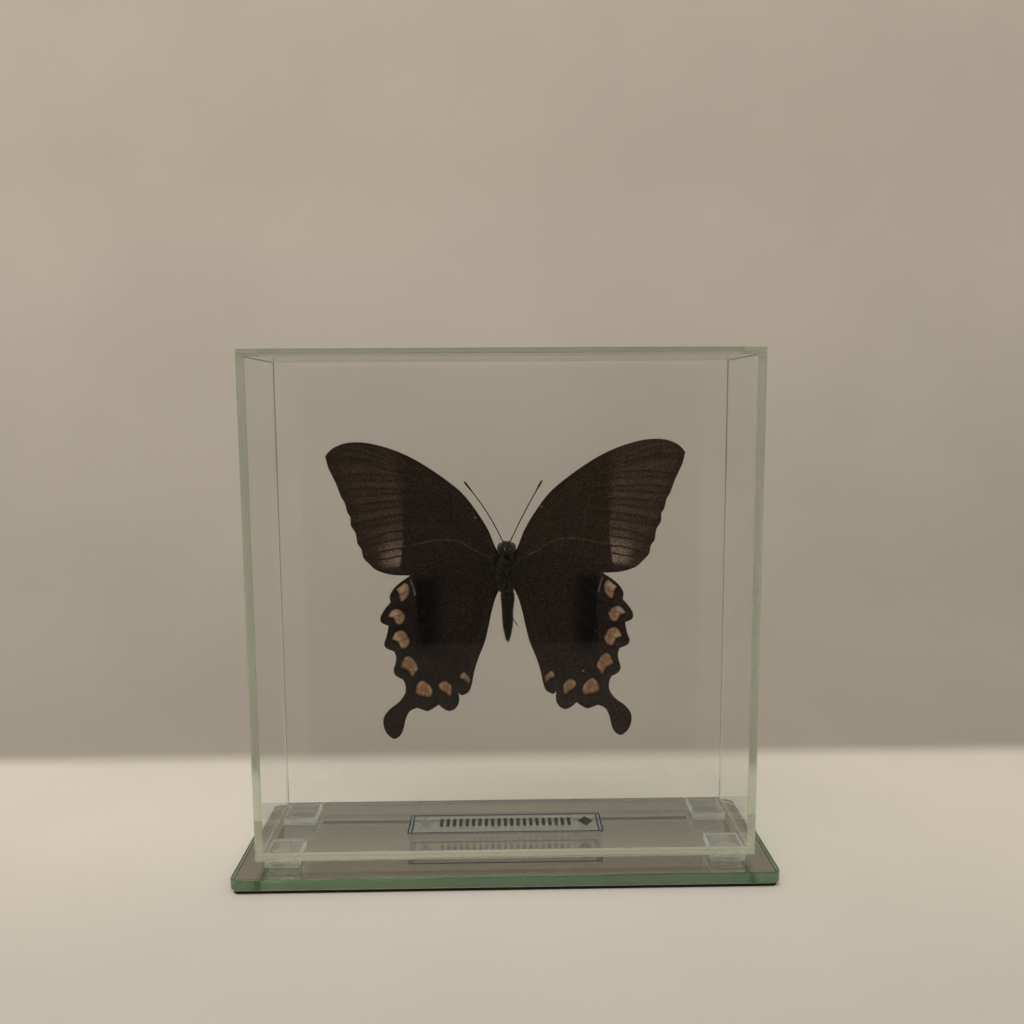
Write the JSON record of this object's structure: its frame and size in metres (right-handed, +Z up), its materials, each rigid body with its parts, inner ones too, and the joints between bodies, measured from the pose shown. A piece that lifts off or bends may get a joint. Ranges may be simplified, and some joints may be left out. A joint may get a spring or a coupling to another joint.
{
  "type": "framed butterfly specimen",
  "caption": "Dried swallowtail butterfly with spread wings in a narrow clear glass display case on short glass feet and a mirror base plate.",
  "frame": {"origin": "centre of the underside of the base's backing sheet, on the surface it stands on", "axes": "+Z up, +X along the case's width, -Y towards the side that shows the butterfly's underside, +Y towards the side that shows its upper side"},
  "size_m": [0.1518, 0.0488, 0.1478],
  "materials": {
    "clear_glass": "polished clear float glass, faint green at the edges",
    "mirror": "silvered glass, green ground edges",
    "backing": "dark protective sheet glued to the back of the mirror",
    "label_film": "clear film with thin dark blue border lines",
    "clear_acrylic": "clear polished",
    "forewing_scales": "matte brown underside with pale streaks, black and metallic green upper side",
    "hindwing_scales": "matte black-brown underside with orange spots, black and metallic blue-green upper side",
    "body_fur": "dense short dark hair",
    "chitin": "dark satin"
  },
  "bodies": {
    "root": {"base_mirror": "mirror", "base_backing": "backing", "foot_near_left": "clear_glass", "foot_near_right": "clear_glass", "foot_far_left": "clear_glass", "foot_far_right": "clear_glass", "bottom_pane": "clear_glass", "top_pane": "clear_glass", "left_pane": "clear_glass", "right_pane": "clear_glass", "back_pane": "clear_glass", "front_pane": "clear_glass", "label_film": "label_film", "support_disc": "clear_acrylic", "support_post": "clear_acrylic", "forewing_left": "forewing_scales", "forewing_right": "forewing_scales", "hindwing_left": "hindwing_scales", "hindwing_right": "hindwing_scales", "head": "body_fur", "thorax": "body_fur", "abdomen": "body_fur", "antenna_left": "chitin", "antenna_right": "chitin", "leg_fore_left": "chitin", "leg_fore_right": "chitin", "leg_mid_left": "chitin", "leg_mid_right": "chitin", "leg_hind_left": "chitin", "leg_hind_right": "chitin"}
  },
  "joints": []
}
